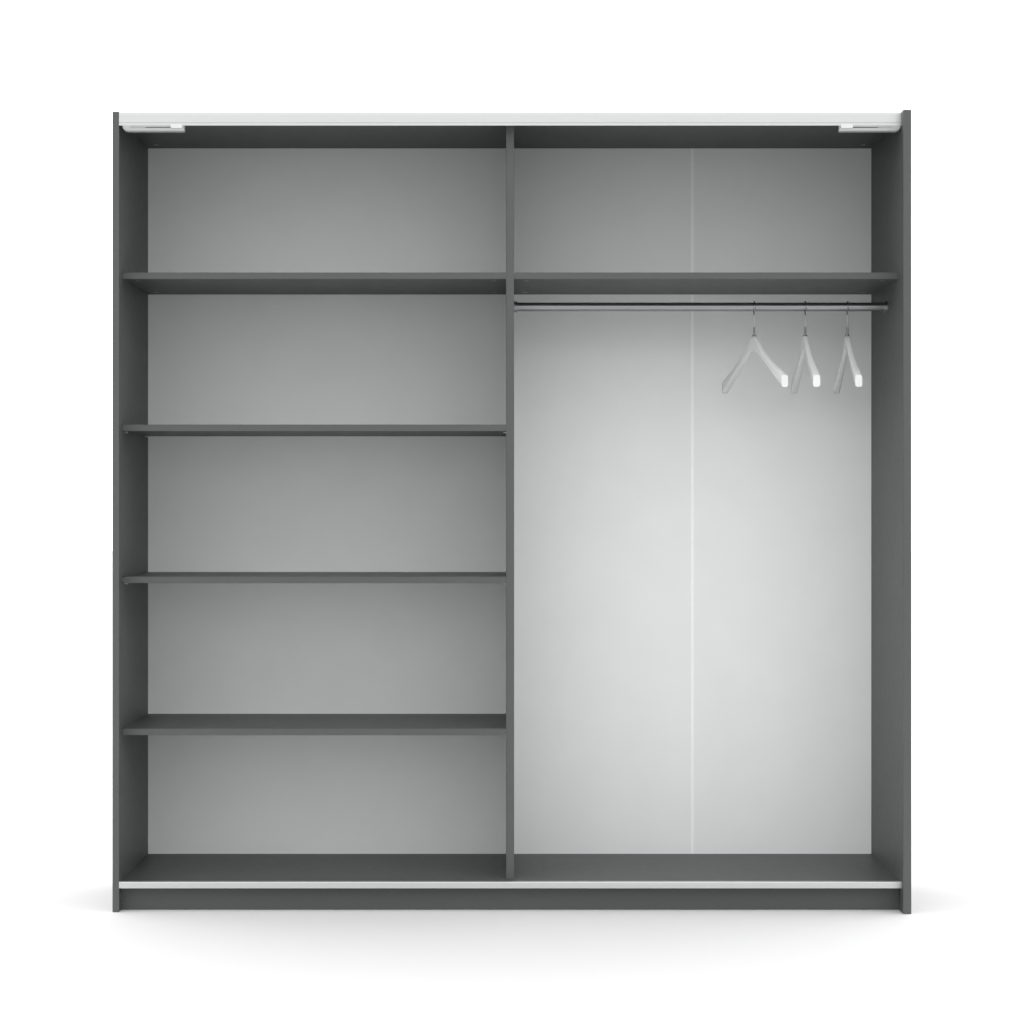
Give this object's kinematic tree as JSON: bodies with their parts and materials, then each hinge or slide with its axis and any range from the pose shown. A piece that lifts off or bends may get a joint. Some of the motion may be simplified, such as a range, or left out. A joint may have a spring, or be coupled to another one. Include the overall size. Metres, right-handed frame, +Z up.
{
  "type": "sliding door wardrobe carcass",
  "caption": "Wide graphite wardrobe carcass for sliding doors: shelf bays, a hanging space with rod and hangers, top track, bottom guide and soft-close catches.",
  "frame": {"origin": "middle of the footprint, on the floor", "axes": "+X to the right seen from the open front, +Y to the back, +Z up"},
  "size_m": [2.19, 0.612, 2.2],
  "materials": {
    "graphite_board": "melamine-faced chipboard, fine-textured matt",
    "graphite_edge": "edging strip, satin",
    "back_board": "thin painted hardboard, matt",
    "white_strip": "extruded, smooth",
    "white_plastic": "moulded, smooth",
    "grey_plastic": "moulded, fine grain",
    "socket_metal": "satin nickel plating",
    "collar_metal": "turned, dark plating",
    "track_aluminium": "drawn and anodised, satin",
    "guide_aluminium": "drawn and anodised, satin",
    "zinc_steel": "zinc-plated",
    "zinc_casting": "die-cast, dull",
    "beech": "fluted beech, raw",
    "rod_chrome": "polished tube",
    "hook_steel": "polished wire",
    "white_lacquered_wood": "lacquered, satin"
  },
  "bodies": {
    "carcass": {"left_side_panel": "graphite_board", "right_side_panel": "graphite_board", "centre_partition": "graphite_board", "top_panel": "graphite_board", "bottom_panel": "graphite_board", "front_plinth": "graphite_board", "rear_plinth": "graphite_board", "plinth_stretchers": "graphite_board", "front_edge_bands": "graphite_edge", "left_shelf_1": "graphite_board", "left_shelf_2": "graphite_board", "left_shelf_3": "graphite_board", "left_shelf_4": "graphite_board", "right_shelf": "graphite_board", "back_panel_left": "back_board", "back_panel_centre": "back_board", "back_panel_right": "back_board", "back_joint_profile": "white_strip", "back_panel_nails": "zinc_steel", "cam_bolts": "zinc_steel", "cam_locks": "zinc_casting", "wood_dowels": "beech", "shelf_pins": "zinc_steel", "top_track": "track_aluminium", "bottom_guide_rail": "guide_aluminium", "top_track_screws": "zinc_steel", "soft_close_screws": "zinc_steel", "soft_close_housing_left": "grey_plastic", "damper_cylinder_left": "zinc_steel", "catch_spring_left": "zinc_steel", "soft_close_housing_right": "grey_plastic", "damper_cylinder_right": "zinc_steel", "catch_spring_right": "zinc_steel", "hanging_rod": "rod_chrome", "rod_socket_left": "socket_metal", "rod_socket_right": "socket_metal", "rod_socket_screws": "zinc_steel"},
    "left_catch": {"soft_close_catch_left": "white_plastic", "damper_rod_left": "zinc_steel"},
    "right_catch": {"soft_close_catch_right": "white_plastic", "damper_rod_right": "zinc_steel"},
    "hook_1": {"hanger_hook_1": "hook_steel"},
    "hanger_1": {"hanger_body_1": "white_lacquered_wood", "hanger_collar_1": "collar_metal"},
    "hook_2": {"hanger_hook_2": "hook_steel"},
    "hanger_2": {"hanger_body_2": "white_lacquered_wood", "hanger_collar_2": "collar_metal"},
    "hook_3": {"hanger_hook_3": "hook_steel"},
    "hanger_3": {"hanger_body_3": "white_lacquered_wood", "hanger_collar_3": "collar_metal"}
  },
  "joints": [
    {"name": "left_catch_slide", "type": "slide", "parent": "carcass", "child": "left_catch", "axis": [-1, 0, 0], "range_m": [0, 0.072], "deforming": ["catch_spring_left"]},
    {"name": "right_catch_slide", "type": "slide", "parent": "carcass", "child": "right_catch", "axis": [1, 0, 0], "range_m": [0, 0.072], "deforming": ["catch_spring_right"]},
    {"name": "hook_1_slide", "type": "slide", "parent": "carcass", "child": "hook_1", "axis": [1, 0, 0], "range_m": [-0.56, 0.03]},
    {"name": "hanger_1_swivel", "type": "hinge", "parent": "hook_1", "child": "hanger_1", "pos_m": [0.694, -0.012, 1.6], "axis": [0, 0, 1], "range_deg": [-43.5, 6.5]},
    {"name": "hook_2_slide", "type": "slide", "parent": "carcass", "child": "hook_2", "axis": [1, 0, 0], "range_m": [-0.03, 0.06]},
    {"name": "hanger_2_swivel", "type": "hinge", "parent": "hook_2", "child": "hanger_2", "pos_m": [0.8395, -0.012, 1.6], "axis": [0, 0, 1], "range_deg": [-12, 18]},
    {"name": "hook_3_slide", "type": "slide", "parent": "carcass", "child": "hook_3", "axis": [1, 0, 0], "range_m": [-0.06, 0.02]},
    {"name": "hanger_3_swivel", "type": "hinge", "parent": "hook_3", "child": "hanger_3", "pos_m": [0.9595, -0.012, 1.6], "axis": [0, 0, 1], "range_deg": [-16, 19]}
  ]
}
